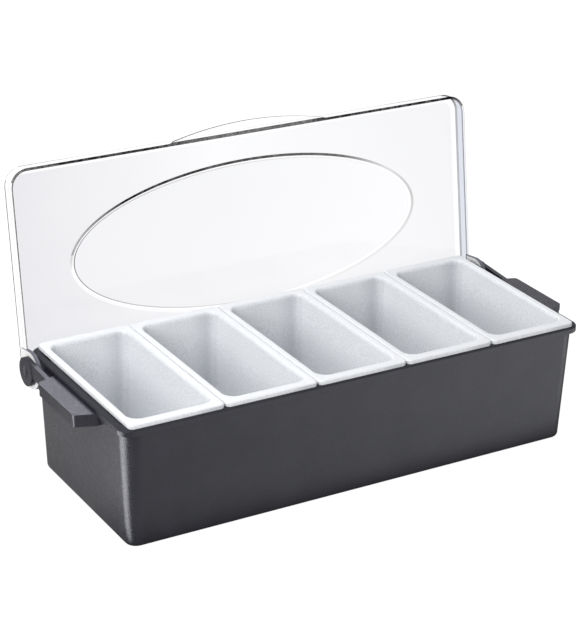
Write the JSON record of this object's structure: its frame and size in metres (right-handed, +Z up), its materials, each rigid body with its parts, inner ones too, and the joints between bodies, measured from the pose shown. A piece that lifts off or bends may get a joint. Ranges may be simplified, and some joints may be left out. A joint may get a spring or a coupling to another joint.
{
  "type": "condiment caddy with flip lid",
  "caption": "Long tub with end handles that holds a row of lift-out square inserts under one hinged clear lid that leans back when open.",
  "frame": {"origin": "middle of the tub's flat underside, on the surface that the caddy stands on", "axes": "+X along the length towards the right-hand end, -Y towards the front where the lid opens, +Z up"},
  "size_m": [0.4118, 0.1835, 0.2328],
  "materials": {
    "tub_black": "moulded black plastic with a fine satin texture",
    "insert_white": "smooth moulded white plastic, satin inside",
    "lid_clear": "clear moulded plastic with polished faces",
    "pin_black": "smooth black plastic"
  },
  "bodies": {
    "base": {"tub": "tub_black", "hinge_pin_left": "pin_black", "hinge_pin_right": "pin_black"},
    "lid": {"lid": "lid_clear"},
    "insert_1": {"insert_1": "insert_white"},
    "insert_2": {"insert_2": "insert_white"},
    "insert_3": {"insert_3": "insert_white"},
    "insert_4": {"insert_4": "insert_white"},
    "insert_5": {"insert_5": "insert_white"}
  },
  "joints": [
    {"name": "lid_hinge", "type": "hinge", "parent": "base", "child": "lid", "pos_m": [0, 0.0649, 0.082], "axis": [-1, 0, 0], "range_deg": [-98.3, 0]},
    {"name": "insert_1_lift", "type": "slide", "parent": "base", "child": "insert_1", "axis": [0, 0, 1], "range_m": [0, 0.1]},
    {"name": "insert_2_lift", "type": "slide", "parent": "base", "child": "insert_2", "axis": [0, 0, 1], "range_m": [0, 0.1]},
    {"name": "insert_3_lift", "type": "slide", "parent": "base", "child": "insert_3", "axis": [0, 0, 1], "range_m": [0, 0.1]},
    {"name": "insert_4_lift", "type": "slide", "parent": "base", "child": "insert_4", "axis": [0, 0, 1], "range_m": [0, 0.1]},
    {"name": "insert_5_lift", "type": "slide", "parent": "base", "child": "insert_5", "axis": [0, 0, 1], "range_m": [0, 0.1]}
  ]
}
